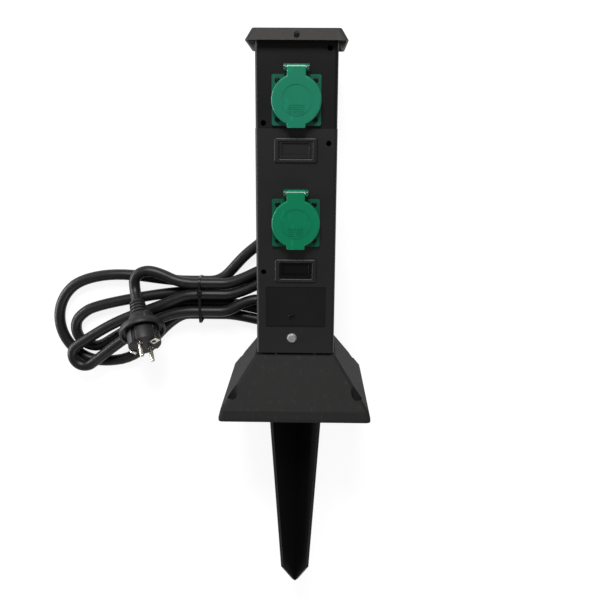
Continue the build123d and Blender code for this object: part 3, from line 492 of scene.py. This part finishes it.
class Finish:
    """One material, with the few nodes its surface needs."""

    def __init__(self, name, roughness, metallic=0.0, specular=0.5):
        self.material = bpy.data.materials.new(name)
        self.material.use_nodes = True
        self.tree = self.material.node_tree
        self.shader = self.tree.nodes["Principled BSDF"]
        self.shader.inputs["Roughness"].default_value = roughness
        self.shader.inputs["Metallic"].default_value = metallic
        self.shader.inputs["Specular IOR Level"].default_value = specular
        self.place = self.node("ShaderNodeTexCoord", {}, {}, "Object")

    def node(self, kind, settings, inputs, output=0):
        """Adds a node, with its settings and with what goes into it, and gives back one of its outputs."""
        made = self.tree.nodes.new(kind)
        for key, value in settings.items():
            setattr(made, key, value)
        for key, value in inputs.items():
            if isinstance(value, Value):
                self.tree.links.new(value.socket, made.inputs[key])
            else:
                made.inputs[key].default_value = value
        return Value(self, made.outputs[output])

    def feed(self, name, value):
        """Links a value to one of the shader's inputs."""
        self.tree.links.new(value.socket, self.shader.inputs[name])

    def noise(self, size, detail=3.0, place=None):
        """Cloudy noise from 0 to 1, with lumps of a size in metres."""
        inputs = {"Vector": place or self.place, "Scale": 1 / size, "Detail": detail}
        return self.node("ShaderNodeTexNoise", {}, inputs, "Fac")

    def stretched(self, x, y, z):
        """The surface's place, drawn out along some of its axes."""
        return self.node("ShaderNodeMapping", {}, {"Vector": self.place, "Scale": (x, y, z)})

    def blend(self, mask, low, high):
        """One colour where the mask is 0 and another where it is 1."""
        made = self.tree.nodes.new("ShaderNodeMix")
        made.data_type = "RGBA"
        self.tree.links.new(mask.socket, made.inputs["Factor"])
        for name, colour in (("A", low), ("B", high)):
            socket = [s for s in made.inputs if s.name == name and s.type == "RGBA"][0]
            if isinstance(colour, Value):
                self.tree.links.new(colour.socket, socket)
            else:
                socket.default_value = (*colour, 1.0)
        return Value(self, [s for s in made.outputs if s.type == "RGBA"][0])

    def bump(self, height, depth):
        """Feeds a height from 0 to 1 as a relief of a depth in metres."""
        inputs = {"Height": height, "Strength": 1.0, "Distance": depth}
        self.feed("Normal", self.node("ShaderNodeBump", {}, inputs, "Normal"))


def scaled(colour, factor):
    """A colour made lighter or darker."""
    return tuple(channel * factor for channel in colour)


def moulded(name, colour, roughness, grain=0.0006, depth=0.00003, mottle=0.12, specular=0.22):
    """Moulded plastic: fine grain, faint flow clouds and a few rubbed, shinier patches."""
    finish = Finish(name, roughness, specular=specular)
    clouds = finish.noise(0.035, 4.0)
    fine = finish.noise(grain, 2.0)
    scuffs = finish.noise(0.004, 5.0, finish.stretched(1.0, 0.35, 1.0)).past(0.63, 0.08)
    body = finish.blend(clouds, scaled(colour, 1 - mottle), scaled(colour, 1 + mottle))
    finish.feed("Base Color", finish.blend(scuffs * 0.35, body, scaled(colour, 1.6)))
    finish.feed("Roughness", clouds * 0.08 + fine * 0.06 - scuffs * 0.05 + (roughness - 0.06))
    finish.bump(fine + clouds * 0.3, depth)
    return finish.material


def green(name, colour, roughness, specular=0.22):
    """The outlets' green plastic, which is smoother than the housing's."""
    return moulded(name, colour, roughness, 0.0007, 0.000018, 0.07, specular)


def rubber(name, colour, roughness=0.62):
    """Rubber: matt, a little chalky, with extrusion haze."""
    finish = Finish(name, roughness, specular=0.25)
    haze = finish.noise(0.012, 5.0)
    fine = finish.noise(0.0005, 2.0)
    finish.feed("Base Color", finish.blend(haze.past(0.5, 0.5), scaled(colour, 0.85), scaled(colour, 1.35)))
    finish.feed("Roughness", haze * 0.14 + fine * 0.05 + (roughness - 0.1))
    finish.bump(fine * 0.7 + haze * 0.3, 0.00004)
    return finish.material


def plated(name, colour, roughness, haze=0.2):
    """Plated steel: fine lines, and clouds of duller plating."""
    finish = Finish(name, roughness, metallic=1.0)
    clouds = finish.noise(0.003, 4.0)
    lines = finish.noise(0.0004, 2.0, finish.stretched(1.0, 0.08, 1.0))
    finish.feed("Base Color", finish.blend(clouds.past(0.5, 0.4), scaled(colour, 0.8), colour))
    finish.feed("Roughness", clouds * haze + lines * 0.12 + (roughness - 0.1))
    finish.bump(lines, 0.00001)
    return finish.material


def galvanised():
    """Dull galvanised steel, with the zinc's crystals."""
    finish = Finish("galvanised", 0.5, metallic=0.55)
    cells = finish.node("ShaderNodeTexVoronoi", {}, {"Vector": finish.place, "Scale": 700.0}, "Color")
    shade = finish.node("ShaderNodeSeparateColor", {}, {0: cells})
    clouds = finish.noise(0.002, 4.0)
    crystals = shade * 0.6 + clouds * 0.4
    finish.feed("Base Color", finish.blend(crystals, (0.17, 0.17, 0.165), (0.30, 0.30, 0.29)))
    finish.feed("Roughness", shade * 0.15 + clouds * 0.1 + 0.36)
    finish.bump(clouds, 0.00003)
    return finish.material


def striped(name, first, second):
    """Insulation in two colours, in turns along the wire."""
    finish = Finish(name, 0.4)
    inputs = {"Vector": finish.place, "Scale": 60.0}
    wave = finish.node("ShaderNodeTexWave", {"bands_direction": "DIAGONAL"}, inputs, "Fac")
    finish.feed("Base Color", finish.blend(wave.past(0.5, 0.1), first, second))
    finish.bump(finish.noise(0.0006), 0.00002)
    return finish.material


def finishes():
    """Every finish, by its name."""
    return {
        "roof": moulded("roof_grey", (0.0196, 0.0180, 0.0163), 0.50, mottle=0.08, specular=0.12),
        "housing": moulded("housing_black", (0.0080, 0.0080, 0.0083), 0.42),
        # The upper housings' black is the housing black darkened: painted shade for the post's upper part,
        # which is the same plastic
        "housing_top_painted_shade": moulded("housing_black_painted_shade", (0.0034, 0.0034, 0.0037), 0.42, specular=0.17),
        "base": moulded("base_grey", (0.0150, 0.0150, 0.0147), 0.60, depth=0.00004, specular=0.04),
        "spike": moulded("spike_grey", (0.0016, 0.0016, 0.0016), 0.44, grain=0.0009, specular=0.10),
        "plate": moulded("cover_grey", (0.0038, 0.0038, 0.0040), 0.36, depth=0.00002),
        # The two window blanks are one grey moulding: the upper one's lighter grey is painted light and the
        # lower one's darker grey is painted shade
        "blank_upper_painted_light": moulded("upper_blank_grey_painted_light", (0.0105, 0.0105, 0.0107), 0.36, depth=0.00002),
        "blank_lower_painted_shade": moulded("lower_blank_grey_painted_shade", (0.0018, 0.0018, 0.0019), 0.40, specular=0.12,
                               depth=0.00002),
        "screw": moulded("black_screw", (0.0020, 0.0020, 0.0020), 0.36, specular=0.20),
        "green_upper": green("lid_green", (0.0030, 0.125, 0.068), 0.30, 0.40),
        "green_lower": green("lid_deep_green", (0.0, 0.124, 0.055), 0.30, 0.28),
        # The flanges are the lids' green plastic, darkened as painted shade for the shade under the lids
        "flange_upper": green("flange_green", (0.0042, 0.068, 0.043), 0.34),
        "flange_lower": green("flange_deep_green", (0.0010, 0.062, 0.035), 0.34),
        "seal": rubber("seal_black", (0.006, 0.006, 0.006)),
        "cord": rubber("cord_black", (0.0052, 0.0052, 0.0054), 0.42),
        "plug": rubber("plug_black", (0.0100, 0.0100, 0.0103), 0.48),
        "tie": moulded("tie_black", (0.005, 0.005, 0.005), 0.36),
        "zinc": plated("zinc_plate", (0.56, 0.55, 0.52), 0.36),
        "dark_steel": plated("black_oxide", (0.028, 0.028, 0.028), 0.30),
        "bolt": galvanised(),
        "nickel": plated("nickel_plate", (0.66, 0.63, 0.56), 0.24, 0.12),
        "brass": plated("brass", (0.62, 0.43, 0.16), 0.30),
        "spring": plated("spring_steel", (0.45, 0.45, 0.46), 0.30),
        "insulator": moulded("insulator_white", (0.62, 0.61, 0.56), 0.42),
        "brown": moulded("brown_insulation", (0.10, 0.035, 0.014), 0.4),
        "blue": moulded("blue_insulation", (0.02, 0.07, 0.36), 0.4),
        "earth": striped("earth_insulation", (0.03, 0.22, 0.03), (0.70, 0.55, 0.02)),
    }


# Finishes of the post's parts, of the parts that each outlet has, and of all others
NODE_FINISH = {
    # Both upper housings wear the darker black, which is painted shade
    "roof_cap": "roof", "upper_front_housing": "housing_top_painted_shade", "upper_rear_housing": "housing_top_painted_shade",
    "upper_window_blank": "blank_upper_painted_light", "lower_window_blank": "blank_lower_painted_shade", "terminal_cover": "plate",
    "roof_screws": "screw", "upper_housing_screws": "screw", "lower_housing_screws": "screw",
    "terminal_cover_screw": "screw", "base": "base", "ground_spike": "spike", "spike_screws": "zinc",
    "foot_bolt": "bolt", "foot_washer": "bolt", "foot_nut": "bolt",
    "terminal_block": "insulator", "terminal_screws": "brass", "terminal_mount_screws": "zinc",
    "cord_clamp": "insulator", "clamp_screws": "zinc",
    "brown_wires": "brown", "blue_wires": "blue", "earth_wires": "earth",
    "cord_inner": "cord", "cord_boot": "seal", "cord_lead": "cord", "cord_hank": "cord", "cord_tail": "cord",
    "cord_tie": "tie", "plug_body": "plug", "plug_pins": "nickel", "plug_earth_contacts": "nickel",
}
OUTLET_FINISH = {
    "socket_gasket": "seal", "flange_screws": "dark_steel", "earth_clip": "nickel", "contacts": "brass",
    "lid_seal": "seal", "hinge_pin": "zinc", "hinge_spring": "spring",
}
OTHER_FINISH = "housing"


def finish_of(node):
    """The finish of one of the post's parts."""
    outlet, _, part = node.partition("_")
    if part == "lid":
        return f"green_{outlet}"
    # A socket insert gets its lid's green darkened as painted shade
    if part == "socket_insert":
        return f"flange_{outlet}"
    return NODE_FINISH.get(node) or OUTLET_FINISH.get(part) or OTHER_FINISH


def wear(piece, material):
    """Gives a piece its only material."""
    piece.data.materials.clear()
    piece.data.materials.append(material)


# Studio


def floor_material():
    """Pale, and nearly white where the camera, metal or glass sees it, with the post's shadow left on it."""
    finish = Finish("studio_floor", 0.9, specular=0.1)
    camera, glossy, through = (finish.node("ShaderNodeLightPath", {}, {}, kind)
                               for kind in ("Is Camera Ray", "Is Glossy Ray", "Is Transmission Ray"))
    settings = {"operation": "ADD", "use_clamp": True}
    seen = finish.node("ShaderNodeMath", settings, {0: camera + glossy, 1: through})
    clouds = finish.noise(0.4, 2.0)
    pale = finish.blend(clouds, *FLOOR_SHADES)
    finish.feed("Base Color", finish.blend(seen, pale, FLOOR_SEEN))
    finish.feed("Emission Color", finish.blend(seen, (0.0, 0.0, 0.0), FLOOR_GLOW))
    finish.shader.inputs["Emission Strength"].default_value = 1.0
    return finish.material


def area_light(name, place, target, size, power):
    """A rectangular light that faces a target."""
    data = bpy.data.lights.new(name, "AREA")
    data.shape = "RECTANGLE"
    data.size, data.size_y = size
    data.energy = power
    light = bpy.data.objects.new(name, data)
    light.location = place
    light.rotation_euler = (Vector(target) - Vector(place)).to_track_quat("-Z", "Y").to_euler()
    bpy.context.scene.collection.objects.link(light)


def make_studio():
    """A pale floor, and soft light from past the roof, from the left and from the spike's end."""
    deselect()
    bpy.ops.mesh.primitive_plane_add(size=FLOOR_SIZE, location=(0, 0, FLOOR - FLOOR_GAP))
    floor = bpy.context.active_object
    floor.name = "studio_floor"
    wear(floor, floor_material())
    for light in LIGHTS:
        area_light(*light)
    world = bpy.data.worlds.new("studio")
    world.use_nodes = True
    world.node_tree.nodes["Background"].inputs["Color"].default_value = (1, 1, 1, 1)
    world.node_tree.nodes["Background"].inputs["Strength"].default_value = SKY_LIGHT
    bpy.context.scene.world = world
    bpy.context.scene.view_settings.view_transform = "Standard"


def main():
    make_camera()
    make_studio()
    looks = finishes()
    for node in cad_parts:
        wear(bpy.data.objects[node], looks[finish_of(node)])
    plug = make_plug()
    wear(plug, looks["plug"])
    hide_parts("plug_body")
    tie = make_tie()
    wear(tie, looks["tie"])
    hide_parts("cord_tie")
    cord = make_cord()
    wear(cord, looks["cord"])
    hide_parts("cord_lead", "cord_hank", "cord_tail")
    rings = make_pin_rings()
    wear(rings, looks["nickel"])
    for piece in (plug, tie, cord, rings):
        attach(piece, "post")


main()
